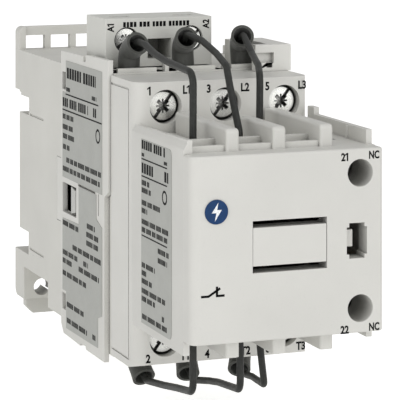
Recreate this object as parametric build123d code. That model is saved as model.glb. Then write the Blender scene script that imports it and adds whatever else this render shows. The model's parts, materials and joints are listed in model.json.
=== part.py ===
from build123d import *
from math import radians, sin, tan
import os

# Contactor for a 35 mm rail, with a front-mounted pre-charge block.
# All sizes are in millimetres.
# Frame: X to the right as seen from the front, Z up, and the front faces -Y.
# "Depth" is the distance out from the panel, so a point at depth d has y = -d.
# Origin: middle of the width, on the panel plane, on the rail's centre line.

# ---------------------------------------------------------------- driving sizes
WIDTH = 45.0
HALF = WIDTH / 2
POLE_PITCH = 14.8
MIDDLE_POLE = 0.5         # the poles sit a little to the right of the middle
POLES = (MIDDLE_POLE - POLE_PITCH, MIDDLE_POLE, MIDDLE_POLE + POLE_PITCH)
SIDES = (-1, 1)

RAIL_HEIGHT = 35.0
RAIL_THICKNESS = 1.0
RAIL_SEAT = 4.14          # depth of the face that the rail's front rests on

BASE_FRONT = 42.0         # joint between the base and the contact housing
CONTACT_FRONT = 80.0      # joint between the contact housing and the front cover
FACE = 97.5               # main front face
BLOCK_DEPTH = 39.0
BLOCK_FRONT = FACE + BLOCK_DEPTH
BLOCK_SHELL_FRONT = BLOCK_FRONT - 4.5

RUN = 0.05                # running clearance between sliding pieces

STROKE = 5.0              # travel of the contact carrier towards the panel
BRIDGE_LAG = 1.5          # part of that travel taken up by the contact springs

MAIN_TOP = 33.8
MAIN_BOTTOM = -32.4
LINE_SCREW_Z = 28.0
LOAD_SCREW_Z = -25.7
FOOT_HOLE_R = 2.25
FOOT_HOLE_X = 17.5
FOOT_HOLES_Z = (-30.0, 30.0)

BLOCK_TOP = 22.0
BLOCK_BOTTOM = -18.5
CHEEK_BOTTOM = -21.4      # the left wall of the block reaches lower than its front
BLOCK_HALF = 22.65
AUX_POLES = (-16.45, -5.45, 5.75)
AUX_NC_X = 17.1           # fourth chamber, with the numbered terminals 21 and 22
AUX_HOLES_Z = (16.6, -13.1)
AUX_HOLE_R = 3.0
FIN_X = (-10.9, 0.1, 11.35)
FIN_REARS = (99.0, 111.6, 98.8)
FIN_THICKNESS = 3.1
FIN_TOP = 26.9
FIN_BOTTOM = -22.8
FIN_FRONT = 131.2

LEAD_R = 0.82
LEAD_BEND = 3.0
PIN_R = 1.15
BOOT_DEPTH = 75.1
BOOT_X = (-15.8, -1.7, 13.6)
LOW_BOOT_X = (-13.6, -0.7, 13.9)


# ---------------------------------------------------------------- shape helpers
def block(x, depth, z):
    """Box between a low and a high limit on each axis."""
    centre = Pos(sum(x) / 2, -sum(depth) / 2, sum(z) / 2)
    return centre * Box(x[1] - x[0], depth[1] - depth[0], z[1] - z[0])


def side_profile(points, x):
    """Outline given as (depth, z), extruded across the width between two X limits."""
    outline = make_face(Polyline(*[(-d, z) for d, z in points], close=True))
    return extrude(Plane.YZ.offset(x[0]) * outline, x[1] - x[0])


def plan_profile(points, z):
    """Outline given as (x, depth), extruded upwards between two heights."""
    outline = make_face(Polyline(*[(px, -d) for px, d in points], close=True))
    return extrude(Plane.XY.offset(z[0]) * outline, z[1] - z[0])


def front_profile(points, depth):
    """Outline given as (x, z), extruded outwards between two depths."""
    outline = make_face(Polyline(*points, close=True))
    return extrude(Plane.XZ.offset(depth[0]) * outline, depth[1] - depth[0])


def rod_out(radius, x, z, depth):
    """Round bar that points straight out of the front, between two depths."""
    bar = Cylinder(radius, depth[1] - depth[0], rotation=(90, 0, 0))
    return Pos(x, -sum(depth) / 2, z) * bar


def rod_up(radius, x, depth, z):
    """Upright round bar between two heights."""
    return Pos(x, -depth, sum(z) / 2) * Cylinder(radius, z[1] - z[0])


def rod_across(radius, x, depth, z):
    """Round bar across the width between two X limits."""
    bar = Cylinder(radius, x[1] - x[0], rotation=(0, 90, 0))
    return Pos(sum(x) / 2, -depth, z) * bar


def round_upright(shape, radius, choose):
    """Round the upright edges whose centre passes the given test."""
    edges = [e for e in shape.edges().filter_by(Axis.Z) if choose(e.center())]
    return fillet(edges, radius)


def spring(radius, wire, length, turns):
    """Helical spring standing on z = 0."""
    path = Helix(pitch=(length - 2 * wire) / turns, height=length - 2 * wire, radius=radius)
    start = Plane(origin=path @ 0, z_dir=path % 0)
    coil = sweep(start * Circle(wire), path=path)
    return Pos(0, 0, wire) * coil


def group(*shapes):
    """Several separate solids kept together as one sub-part."""
    solids = []
    for shape in shapes:
        solids += shape.solids()
    return Compound(children=solids)


def slot_cut(x, z, depth, size, turn):
    """Straight slot of a given length, width and reach, turned about the screw's axis."""
    length, width, reach = size
    cut = block((-length / 2, length / 2), (depth - reach, depth + 0.1), (-width / 2, width / 2))
    return Pos(x, 0, z) * (Rot(0, -turn, 0) * cut)


def cross_recess(x, z, depth, length, reach):
    """Cross-shaped driver recess, cut back from the given depth."""
    size = (length, 0.9, reach)
    return slot_cut(x, z, depth, size, 45) + slot_cut(x, z, depth, size, -45)


def star_recess(x, z, depth, length, reach):
    """Driver recess: a cross at 45 degrees, a finer upright cross and a pit in the middle."""
    cut = cross_recess(x, z, depth, length, reach)
    for turn in (0, 90):
        cut += slot_cut(x, z, depth, (0.9 * length, 0.4, reach / 2), turn)
    return cut + rod_out(0.28 * length, x, z, (depth - reach, depth + 0.1))


def rounded_path(points, radius):
    """Straight stretches through (x, depth, z) points, with an arc at every corner."""
    places = [Vector(x, -d, z) for x, d, z in points]
    edges = []
    start = places[0]
    for before, corner, after in zip(places, places[1:], places[2:]):
        back = (before - corner).normalized()
        ahead = (after - corner).normalized()
        half_angle = radians(back.get_angle(ahead)) / 2
        reach = min(radius / tan(half_angle), 0.45 * (before - corner).length, 0.45 * (after - corner).length)
        bend = reach * tan(half_angle)
        middle = corner + (back + ahead).normalized() * (bend / sin(half_angle) - bend)
        edges.append(Line(start, corner + back * reach))
        edges.append(ThreePointArc(corner + back * reach, middle, corner + ahead * reach))
        start = corner + ahead * reach
    edges.append(Line(start, places[-1]))
    return Wire(edges)


def tube_along(path, radius):
    """Round bar that follows a path."""
    return sweep(Plane(origin=path @ 0, z_dir=path % 0) * Circle(radius), path=path)


def cone_between(start, end, first_radius, last_radius):
    """Tapered round bar from one (x, depth, z) point to another."""
    low = Vector(start[0], -start[1], start[2])
    high = Vector(end[0], -end[1], end[2])
    axis = high - low
    return Solid.make_cone(first_radius, last_radius, axis.length, Plane(origin=low, z_dir=axis))


# ---------------------------------------------------------------- base and latch
LADDER_TOP = 39.2
BASE_TOP = 33.1
BASE_BOTTOM = -30.8
FOOT_BOTTOM = -33.0
FOOT_TOP = -20.4
MAGNET_FLOOR = 15.0       # depth of the floor of the magnet chamber
NOTCH_Z = (-20.4, -14.4)  # clearance for the rail's lower flange
LATCH_CHANNEL = 9.2
WINDOW_WIDTH = 5.5
WINDOW_PITCH = 7.1
WINDOW_COUNT = 6


def ladder():
    """Slotted rail that stands up at the rear of the base."""
    plate = block((-HALF, HALF), (0.7, 3.0), (BASE_TOP - 0.5, LADDER_TOP))
    for side in SIDES:
        jamb = sorted((side * HALF, side * (HALF - 1.9)))
        plate += block(jamb, (0, 3.8), (BASE_TOP - 0.5, LADDER_TOP))
    first = -(WINDOW_COUNT - 1) / 2 * WINDOW_PITCH
    for i in range(WINDOW_COUNT):
        x = first + i * WINDOW_PITCH
        half = WINDOW_WIDTH / 2
        plate -= block((x - half, x + half), (-1, 3.1), (BASE_TOP, 36.8))
    corners = [e for e in plate.edges().filter_by(Axis.Y)
               if e.center().Z > LADDER_TOP - 0.1 and abs(e.center().X) > HALF - 0.1]
    return fillet(corners, 1.6)


def base_housing():
    """Rear shell: rail seat with fixed hooks, feet, ladder and magnet chamber."""
    body = block((-HALF, HALF), (RAIL_SEAT, BASE_FRONT), (BASE_BOTTOM, BASE_TOP))
    body += block((-HALF, HALF), (0, RAIL_SEAT), (22.4, BASE_TOP))
    body += ladder()
    for side in SIDES:
        foot = block(sorted((side * 15.5, side * HALF)), (0, 8.4), (FOOT_BOTTOM, FOOT_TOP))
        heel = [e for e in foot.edges().filter_by(Axis.X)
                if e.center().Y > -0.1 and e.center().Z < FOOT_BOTTOM + 0.1]
        body += fillet(heel, 2.0)
        hook = sorted((side * 6.0, side * 13.0))
        body += block(hook, (0.4, RAIL_SEAT - RAIL_THICKNESS - 0.1), (15.9, 22.5))
    # grooves that clear the rail's flanges
    body -= block((-HALF - 1, HALF + 1), (RAIL_SEAT - 0.1, 13.1), (16.6, 21.2))
    body -= block((-HALF - 1, HALF + 1), (3.2, 5.5), (21.1, 21.9))
    body -= block((-HALF - 1, HALF + 1), (RAIL_SEAT - 0.1, 12.7), NOTCH_Z)
    # magnet chamber and the deeper pocket for the fixed core
    body -= block((-20.5, 20.5), (MAGNET_FLOOR, BASE_FRONT + 1), (-28.8, 31.1))
    body -= block((-20.5, 20.5), (6.2, MAGNET_FLOOR + 0.1), (-12.4, 15.2))
    # slot in the top wall for the coil's neck
    body -= block(COIL_SLOT_X, (38.2, BASE_FRONT + 1), (31.0, BASE_TOP + 1))
    # channel for the rail latch, with its side slots and spring peg
    body -= block((-7.7, 7.7), (RAIL_SEAT - 0.1, LATCH_CHANNEL), (BASE_BOTTOM - 1, FOOT_TOP + 0.1))
    body -= block((-9.5, 9.5), (6.0, 7.6), (BASE_BOTTOM - 1, FOOT_TOP + 0.1))
    body += block((-1.8, 1.8), (5.0, LATCH_CHANNEL + 0.1), (BASE_BOTTOM, -29.4))
    # screwdriver pockets over the two fixing holes
    low_z, high_z = FOOT_HOLES_Z
    body -= block((-HALF - 1, -15.5), (8.4, 30.5), (FOOT_BOTTOM, -24.3))
    body -= block((15.5, HALF + 1), (3.0, 30.5), (24.6, BASE_TOP + 0.1))
    body -= rod_out(FOOT_HOLE_R, -FOOT_HOLE_X, low_z, (-1, 10))
    body -= rod_out(FOOT_HOLE_R, FOOT_HOLE_X, high_z, (-1, 10))
    # inner walls that close the pockets off from the magnet chamber
    body += block((-15.6, -14.2), (MAGNET_FLOOR - 0.1, 31.7), (-28.9, -23.1))
    body += block((-20.6, -14.2), (30.5, 31.7), (-28.9, -23.1))
    body += block((-20.6, -14.2), (MAGNET_FLOOR - 0.1, 31.7), (-24.3, -23.1))
    body += block((14.2, 15.6), (MAGNET_FLOOR - 0.1, 31.7), (23.4, 31.2))
    body += block((14.2, 20.6), (30.5, 31.7), (23.4, 31.2))
    body += block((14.2, 20.6), (MAGNET_FLOOR - 0.1, 31.7), (23.4, 24.6))
    # shallow grooves along the sides
    for side in SIDES:
        groove = sorted((side * (HALF - 0.35), side * (HALF + 1)))
        body -= block(groove, (14, 26.5), (16.6, 17.2))
        body -= block(groove, (14, 26.5), (-18.8, -18.2))
        # seat of the side plate's rear tab
        tab_seat = sorted((side * (HOUSING_HALF - 0.05), side * (HALF + 1)))
        body -= block(tab_seat, (38.4, BASE_FRONT + 1), (-6.9, 9.3))
    return body


def rail_latch():
    """Sprung latch with a pull tab; it slides down to free the rail's lower flange."""
    top = -16.2
    tail = -37.9
    body = block((-7.4, 7.4), (4.5, 8.8), (tail, top))
    body += block((-9.2, 9.2), (6.2, 7.4), (-30.6, -21.0))
    body += block((-7.4, 7.4), (0.6, 4.6), (-20.2, -RAIL_HEIGHT / 2 - 0.2))
    body += block((-7.4, 7.4), (0.6, RAIL_SEAT - RAIL_THICKNESS - 0.2), (-20.2, top))
    body -= block((-2.1, 2.1), (4.4, 8.9), (-31.2, -22.0))
    tab = block((-21.0, 21.0), (2.4, 5.0), (-37.6, -33.3))
    corners = [e for e in tab.edges().filter_by(Axis.Y) if e.center().Z < -37.0]
    body += chamfer(corners, 2.0)
    body -= block((-3.0, 3.0), (5.6, 7.6), (tail - 1, -34.6))
    lip = [e for e in body.edges().filter_by(Axis.X)
           if e.center().Z > top - 0.1 and e.center().Y > -1]
    return chamfer(lip, 0.8)


def latch_spring():
    """Spring between the base's peg and the top of the latch's slot."""
    return Pos(0, -6.8, -29.35) * spring(1.45, 0.22, 7.3, 6)


# ---------------------------------------------------------------- magnet and coil
CORE_BACK = 8.0
CORE_FACE = 27.0          # pole faces of the fixed core
AIR_GAP = 0.1             # gap left between the cores when closed
ARMATURE_FACE = CORE_FACE + STROKE + AIR_GAP
ARMATURE_FRONT = 49.5
CORE_HALF_STACK = 7.0
LEG_OUTER = (12.6, 18.0)
LEG_CENTRE = 5.4


def fixed_core():
    """E-shaped laminated core, with slots for the shading rings."""
    stack = (-CORE_HALF_STACK, CORE_HALF_STACK)
    core = block((-18, 18), (CORE_BACK, 14), stack)
    core += block((-LEG_CENTRE, LEG_CENTRE), (13, CORE_FACE - 0.1), stack)
    for side in SIDES:
        leg = sorted((side * LEG_OUTER[0], side * LEG_OUTER[1]))
        core += block(leg, (13, CORE_FACE), stack)
        slot = sorted((side * 15.0, side * 16.0))
        core -= block(slot, (24.2, CORE_FACE + 1), (-8, 8))
    return core


def shading_rings():
    """Copper ring round the outer half of each outer leg."""
    rings = []
    for side in SIDES:
        outer = sorted((side * 15.06, side * 19.1))
        inner = sorted((side * 15.94, side * 18.05))
        ring = block(outer, (24.5, 26.0), (-8.0, 8.0))
        rings.append(ring - block(inner, (24, 27), (-7.05, 7.05)))
    return group(*rings)


def core_cushion():
    """Rubber pad that the fixed core rests on."""
    pad = block((-16, 16), (6.25, CORE_BACK - 0.02), (-6.5, 6.5))
    for x in (-9.0, 9.0):
        pad -= rod_out(2.0, x, 0, (6, CORE_BACK + 1))
    return pad


def armature():
    """E-shaped moving core with a cross hole for its retaining pin."""
    stack = (-CORE_HALF_STACK, CORE_HALF_STACK)
    core = block((-18, 18), (43.5, ARMATURE_FRONT), stack)
    core += block((-LEG_CENTRE, LEG_CENTRE), (ARMATURE_FACE, 44), stack)
    for side in SIDES:
        leg = sorted((side * LEG_OUTER[0], side * LEG_OUTER[1]))
        core += block(leg, (ARMATURE_FACE, 44), stack)
    return core - rod_across(1.05, (-19, 19), 46.6, 0)


def armature_pin():
    """Pin that hangs the armature in the carrier."""
    return rod_across(1.0, (-19.5, 19.5), 46.6, 0)


def coil_bobbin():
    """Flanged former round the centre leg; the armature's centre leg enters its bore."""
    body = block((-6.9, 6.9), (15.05, 38.3), (-8.5, 8.5))
    for depth in ((15.05, 16.3), (37.1, 38.3)):
        flange = block((-12.2, 12.2), depth, (-15.0, 15.0))
        body += fillet(flange.edges().filter_by(Axis.Y), 1.5)
    # ears that rest on the floor of the magnet chamber
    for z in ((-14.0, -9.5), (9.5, 14.0)):
        body += block((-20.4, 20.4), (15.05, 16.3), z)
    return body - block((-5.8, 5.8), (14, 40), (-7.4, 7.4))


def coil_winding():
    """Wound copper on the bobbin, with rounded corners."""
    body = block((-11.6, 11.6), (16.35, 37.05), (-13.6, 13.6))
    body = fillet(body.edges().filter_by(Axis.Y), 4.0)
    return body - block((-6.95, 6.95), (16, 38), (-8.55, 8.55))


def return_springs():
    """Two springs that push the carrier out from the base's floor."""
    coils = []
    for z in (-21.0, 21.0):
        coil = Rot(90, 0, 0) * spring(2.6, 0.35, 30.8, 10)
        coils.append(Pos(0, -MAGNET_FLOOR - 0.05, z) * coil)
    return group(*coils)


# ---------------------------------------------------------------- coil terminal block
COIL_BLOCK_X = (-19.9, 7.5)
COIL_BLOCK_DEPTH = (55.0, 70.0)
COIL_BLOCK_Z = (34.5, 46.3)
COIL_SCREW_X = (-14.45, 2.05)
COIL_SCREW_Z = 41.0
COIL_SLOT_X = (-12.6, -4.4)
COIL_SLOT_TURN = 40       # angle at which the coil screws' slots have stopped


def coil_terminal_block():
    """Terminal block of the coil, with the neck that reaches down to the bobbin."""
    body = block(COIL_BLOCK_X, COIL_BLOCK_DEPTH, COIL_BLOCK_Z)
    body += block((-13.0, 1.0), (39.0, 56.0), (34.5, 36.5))
    body += block((-12.0, -5.0), (39.0, 50.0), (17.0, 35.0))
    body += block((-12.0, -5.0), (38.4, 40.5), (9.5, 18.0))
    for x in COIL_SCREW_X:
        body -= rod_out(3.15, x, COIL_SCREW_Z, (62.0, 71.0))
        body -= rod_out(1.6, x, COIL_SCREW_Z, (57.0, 63.0))
        # wire entry from above, behind the screw's washer
        body -= block((x - 2.6, x + 2.6), (62.0, 65.5), (COIL_SCREW_Z, 47.0))
    # dark driver slot between the two screws
    body -= block((-9.1, -3.0), (60.0, 71.0), (36.4, 41.2))
    return body


def coil_clamps():
    """Round clamp washers under the two coil screws."""
    washers = []
    for x in COIL_SCREW_X:
        washer = rod_out(2.9, x, COIL_SCREW_Z, (65.6, 66.6))
        washers.append(washer - rod_out(1.55, x, COIL_SCREW_Z, (65, 67)))
    return group(*washers)


def coil_screws():
    """Two slotted and cross-recessed screws of the coil terminals."""
    screws = []
    for x in COIL_SCREW_X:
        screw = rod_out(2.75, x, COIL_SCREW_Z, (66.65, 69.2))
        screw += rod_out(1.5, x, COIL_SCREW_Z, (58.0, 67.0))
        screw -= star_recess(x, COIL_SCREW_Z, 69.2, 3.2, 1.4)
        screws.append(screw - slot_cut(x, COIL_SCREW_Z, 69.2, (8.0, 0.7, 0.9), COIL_SLOT_TURN))
    return group(*screws)


# ---------------------------------------------------------------- contact housing
CHAMBERS = ((-20.0, -8.3), (-6.7, 6.7), (8.3, 20.0))
HOUSING_HALF = 21.15
POCKET_DEPTH = (72.2, 78.2)   # wire entries behind the lips
POCKET_HALF = 5.1
SIDE_POCKETS_Z = ((26.8, 31.2), (-28.5, -24.4))


def contact_housing():
    """Middle shell: three contact chambers in front, room for the carrier behind."""
    body = block((-HOUSING_HALF, HOUSING_HALF), (BASE_FRONT, CONTACT_FRONT), (-33.0, 34.2))
    body -= block((-19.9, 19.9), (BASE_FRONT - 1, 56.0), (-31.0, 31.8))
    body -= block(COIL_SLOT_X, (BASE_FRONT - 1, 51.0), (31.0, 35.0))
    for chamber in CHAMBERS:
        body -= block(chamber, (58.0, 81.0), (-6.0, 6.0))
        body -= block(chamber, (62.0, 81.0), (-17.2, 17.2))
        body -= block(chamber, (72.0, 81.0), (-31.0, 31.8))
    for x in POLES:
        body -= block((x - 4.7, x + 4.7), (55.0, 59.0), (-4.2, 4.2))
        pocket = (x - POCKET_HALF, x + POCKET_HALF)
        body -= block(pocket, POCKET_DEPTH, (31.0, 35.0))
        body -= block(pocket, POCKET_DEPTH, (-34.0, -30.0))
    for lip in ((-19.9, -10.1), (-4.9, 4.9), (9.1, 15.0)):
        body += block(lip, (78.2, 79.4), (34.0, 35.2))
    # posts between the poles, with a slot on each side of every post
    for x in (-7.5, 7.5):
        body += block((x - 0.5, x + 0.5), (77.5, 79.4), (34.0, 35.8))
    for slot in ((-20.9, -19.95), (-10.0, -8.1), (-6.9, -5.0), (5.0, 6.9)):
        body -= block(slot, (76.8, 79.5), (32.6, 36.0))
    # windows behind the side plates' openings
    for side in SIDES:
        wall = sorted((side * 19.5, side * 22.0))
        body -= block(wall, (43.4, 49.3), (-3.8, 3.2))
        recess = sorted((side * 20.4, side * 22.0))
        for z in SIDE_POCKETS_Z:
            body -= block(recess, (43.0, 46.0), z)
    return body


def side_hood():
    """Raised hood on the right, behind and beside the third wire entry."""
    outline = [(12.5, 66.0), (22.5, 66.0), (22.5, 84.6), (13.2, 84.6), (13.2, 82.2), (17.2, 82.2),
               (17.2, 71.4), (12.5, 71.4)]
    shell = plan_profile(outline, (34.25, 40.2))
    inner = [(13.7, 67.2), (21.3, 67.2), (21.3, 81.0), (18.5, 81.0), (18.5, 70.2), (13.7, 70.2)]
    shell -= plan_profile(inner, (33.0, 39.0))
    # foot that comes down to the deck of the front cover
    shell += block((13.2, 22.5), (82.2, 84.6), (MAIN_TOP + 0.03, 34.3))
    # shallow recess in the front face, with a deep notch below it
    shell -= block((13.0, 18.0), (83.0, 85.0), (35.9, 38.3))
    shell -= block((16.1, 17.6), (80.0, 85.0), (34.7, 35.8))
    # room for the side plate's top edge
    return shell - block((21.1, 23.0), (65.0, 80.0), (33.0, 37.65))


def side_cover(side):
    """Side plate that closes the contact housing and carries the rating label."""
    top = [(42.0, 36.3), (60.3, 36.6), (60.3, 35.2), (62.2, 35.3), (62.2, 37.0), (79.8, 37.3)]
    front = [(79.8, 6.0), (76.8, 4.5), (76.8, -34.9)]
    bottom = [(62.6, -34.9), (62.2, -34.2), (58.2, -34.2), (57.8, -34.9), (44.0, -34.6), (42.0, -32.6)]
    tab = [(42.0, -6.8), (38.5, -6.8), (38.5, 9.2), (42.0, 9.2)]
    limits = sorted((side * HALF, side * (HOUSING_HALF + 0.03)))
    plate = side_profile(top + front + bottom + tab, limits)
    cut = sorted((side * (HALF + 1), side * 20.0))
    # snap window and small pockets, cut right through
    plate -= block(cut, (43.2, 54.6), (-4.0, 3.4))
    for z in SIDE_POCKETS_Z:
        plate -= block(cut, (43.0, 46.0), z)
    # narrow slot near the front edge and the groove below the label's upper area
    shallow = sorted((side * (HALF + 1), side * (HALF - 0.7)))
    plate -= block(shallow, (72.0, 72.7), (-0.7, 4.5))
    plate -= block(shallow, (56.0, 70.0), (4.2, 4.7))
    return plate


def side_snap(side):
    """Spring hook that holds a side plate, seen in its snap window."""
    limits = sorted((side * (HALF - 0.25), side * (HOUSING_HALF + 0.03)))
    outline = [(49.6, 3.1), (53.0, 2.4), (53.0, -3.0), (49.6, -3.7)]
    return side_profile(outline, limits)


# ---------------------------------------------------------------- main contacts
STRAP_HALF = 3.2
PAD_DEPTH = (76.5, 78.0)  # the terminal end of each strap
CONTACT_TIP_Z = 9.6
BRIDGE_REAR = 69.7        # rear face of the moving bridges at rest
TIP_RADIUS = 1.9
FIXED_TIP = BRIDGE_REAR - 1.2 - (STROKE - BRIDGE_LAG) - 0.02


def fixed_contact(x, up):
    """Terminal strap, stepped down to its contact, with a silver tip."""
    end = 31.2 if up > 0 else 30.4
    pad_rear, pad_front = PAD_DEPTH
    outline = [(pad_rear, end), (pad_front, end), (pad_front, 15.6), (63.5, 15.6), (63.5, 7.2),
               (62.05, 7.2), (62.05, 17.05), (pad_rear, 17.05)]
    strap = side_profile([(d, up * z) for d, z in outline], (x - STRAP_HALF, x + STRAP_HALF))
    tip = rod_out(TIP_RADIUS, x, up * CONTACT_TIP_Z, (63.4, FIXED_TIP))
    return strap + tip


def line_contacts():
    """Fixed contacts of the upper terminals, one per pole."""
    return group(*[fixed_contact(x, 1) for x in POLES])


def load_contacts():
    """Fixed contacts of the lower terminals, one per pole."""
    return group(*[fixed_contact(x, -1) for x in POLES])


def moving_contacts():
    """Bridge with two silver tips, one per pole."""
    bridges = []
    for x in POLES:
        bar = block((x - 3.1, x + 3.1), (BRIDGE_REAR, BRIDGE_REAR + 1.3), (-12.0, 12.0))
        for z in (-CONTACT_TIP_Z, CONTACT_TIP_Z):
            bar += rod_out(TIP_RADIUS, x, z, (BRIDGE_REAR - 1.2, BRIDGE_REAR + 0.1))
        bar += rod_out(1.1, x, 0, (BRIDGE_REAR + 1.2, BRIDGE_REAR + 2.4))
        bridges.append(bar)
    return group(*bridges)


def contact_springs():
    """Contact-pressure springs between the bridges and the carrier's windows."""
    coils = []
    for x in POLES:
        coil = Rot(90, 0, 0) * spring(2.1, 0.35, 7.9, 5)
        coils.append(Pos(x, -BRIDGE_REAR - 1.35, 0) * coil)
    return group(*coils)


def contact_carrier():
    """Moving cross-bar: holds the armature behind and a bridge in each tower."""
    body = block((-19.0, 19.0), (ARMATURE_FRONT + 0.05, 53.0), (-5.0, 5.0))
    body += block((-4.0, 4.0), (ARMATURE_FRONT + 0.05, 53.0), (-24.5, 24.5))
    for side in SIDES:
        cheek = sorted((side * 18.1, side * 19.6))
        body += block(cheek, (43.8, 53.0), (-4.0, 4.0))
    for z in (-21.0, 21.0):
        body += block((-4.0, 4.0), (46.0, 53.0), (z - 3.5, z + 3.5))
    for x in POLES:
        body += block((x - 4.5, x + 4.5), (52.0, 81.0), (-4.0, 4.0))
        body -= block((x - 3.2, x + 3.2), (BRIDGE_REAR - RUN, 79.0), (-5.0, 5.0))
    # front spigot that drives the slider of the pre-charge block
    body += block((-2.6, 2.6), (80.5, 100.0), (-2.0, 2.0))
    body += block((-4.2, 4.2), (98.4, 100.0), (-2.0, 2.0))
    return body - rod_across(1.04, (-20, 20), 46.6, 0)


def arc_plates():
    """Steel splitter plates beyond each pair of contacts."""
    plates = []
    for x in POLES:
        for up in (-1, 1):
            for i in range(5):
                depth = 83.6 + i * 2.1
                height = sorted((up * 6.5, up * 14.8))
                plates.append(block((x - 4.5, x + 4.5), (depth, depth + 0.8), height))
    return group(*plates)


# ---------------------------------------------------------------- main terminals
CAGE_HALF = 4.4
CAGE_WALL = 0.9
CAGE_DEPTH = (72.6, 88.0)
SCREW_HEAD = (92.4, 95.4)
HEAD_R = 3.65
BORE_R = 3.95
SLOT_TURN = 53            # angle at which the screws' slots have stopped


def terminal_cage(x, z):
    """Cage clamp: a frame that the screw pulls up against the strap."""
    height = (z - 3.1, z + 3.1)
    cage = block((x - CAGE_HALF, x + CAGE_HALF), CAGE_DEPTH, height)
    inside = (CAGE_DEPTH[0] + CAGE_WALL, CAGE_DEPTH[1] - CAGE_WALL)
    cage -= block((x - CAGE_HALF + CAGE_WALL, x + CAGE_HALF - CAGE_WALL), inside, (z - 5, z + 5))
    return cage - rod_out(2.04, x, z, (85, 90))


def terminal_screw(x, z):
    """Terminal screw with a slot and a cross; its tip bears on the strap."""
    screw = rod_out(HEAD_R, x, z, SCREW_HEAD)
    screw += rod_out(2.0, x, z, (PAD_DEPTH[1] + 0.02, SCREW_HEAD[0] + 0.1))
    front = SCREW_HEAD[1]
    rim = [e for e in screw.edges().filter_by(GeomType.CIRCLE) if e.center().Y < -front + 0.01]
    screw = chamfer(rim, 0.4) - star_recess(x, z, front, 3.6, 2.0)
    return screw - slot_cut(x, z, front, (3 * HEAD_R, 0.8, 1.0), SLOT_TURN)


def line_clamps():
    """Cage clamps of the three upper terminals."""
    return group(*[terminal_cage(x, LINE_SCREW_Z) for x in POLES])


def load_clamps():
    """Cage clamps of the three lower terminals."""
    return group(*[terminal_cage(x, LOAD_SCREW_Z) for x in POLES])


def line_screws():
    """Screws of the three upper terminals."""
    return group(*[terminal_screw(x, LINE_SCREW_Z) for x in POLES])


def load_screws():
    """Screws of the three lower terminals."""
    return group(*[terminal_screw(x, LOAD_SCREW_Z) for x in POLES])


# ---------------------------------------------------------------- front cover
COVER_HALF = 21.8


def front_cover():
    """Front cover of the contactor: face, deck, arc chambers and screw bores."""
    rear = CONTACT_FRONT + 0.03
    outline = [(rear, MAIN_TOP), (FACE, MAIN_TOP), (FACE, -31.3), (92.9, MAIN_BOTTOM), (rear, MAIN_BOTTOM)]
    body = side_profile(outline, (-COVER_HALF, COVER_HALF))
    body = round_upright(body, 3.4, lambda c: c.Y < -FACE + 0.1)
    for chamber in CHAMBERS:
        body -= block(chamber, (79.0, 95.0), (-30.4, 31.8))
    for x in POLES:
        for z in (LINE_SCREW_Z, LOAD_SCREW_Z):
            sleeve = rod_out(5.2, x, z, (89.0, 96.0))
            body += sleeve & block((-20.5, 20.5), (88, 97), (-31.0, 32.2))
            body -= rod_out(BORE_R, x, z, (88.0, 98.5))
    # window for the carrier's spigot
    body -= block((-6.5, 6.5), (94.0, 98.5), (-2.6, 2.6))
    # outlined panel on each side
    for side in SIDES:
        groove = sorted((side * (COVER_HALF - 0.3), side * (COVER_HALF + 1)))
        body -= block(groove, (92.6, 93.1), (-30.6, 32.0))
        body -= block(groove, (80.0, 93.1), (31.7, 32.2))
        body -= block(groove, (80.0, 93.1), (-30.8, -30.3))
    return body


# ---------------------------------------------------------------- pre-charge block
LEAD_DEPTHS = (121.0, 120.5, 107.7)
LEAD_XS = (-16.4, -5.1, 4.8)
LUG_TOP = 17.52           # heights at which the leads meet their lugs
LUG_BOTTOM = -14.52


def comb_fins(body):
    """Upright fins between the lead channels, above and below the block."""
    for x, rear in zip(FIN_X, FIN_REARS):
        width = (x - FIN_THICKNESS / 2, x + FIN_THICKNESS / 2)
        top = block(width, (rear, FIN_FRONT), (BLOCK_TOP - 1, FIN_TOP))
        crest = [e for e in top.edges().filter_by(Axis.X)
                 if e.center().Y < -FIN_FRONT + 0.1 and e.center().Z > FIN_TOP - 0.1]
        top = fillet(crest, 1.0)
        low = block(width, (rear, FIN_FRONT), (FIN_BOTTOM, BLOCK_BOTTOM + 1))
        body += round_upright(top, 0.6, lambda c: c.Y < -FIN_FRONT + 0.1)
        body += round_upright(low, 0.6, lambda c: c.Y < -FIN_FRONT + 0.1)
    return body


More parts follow.
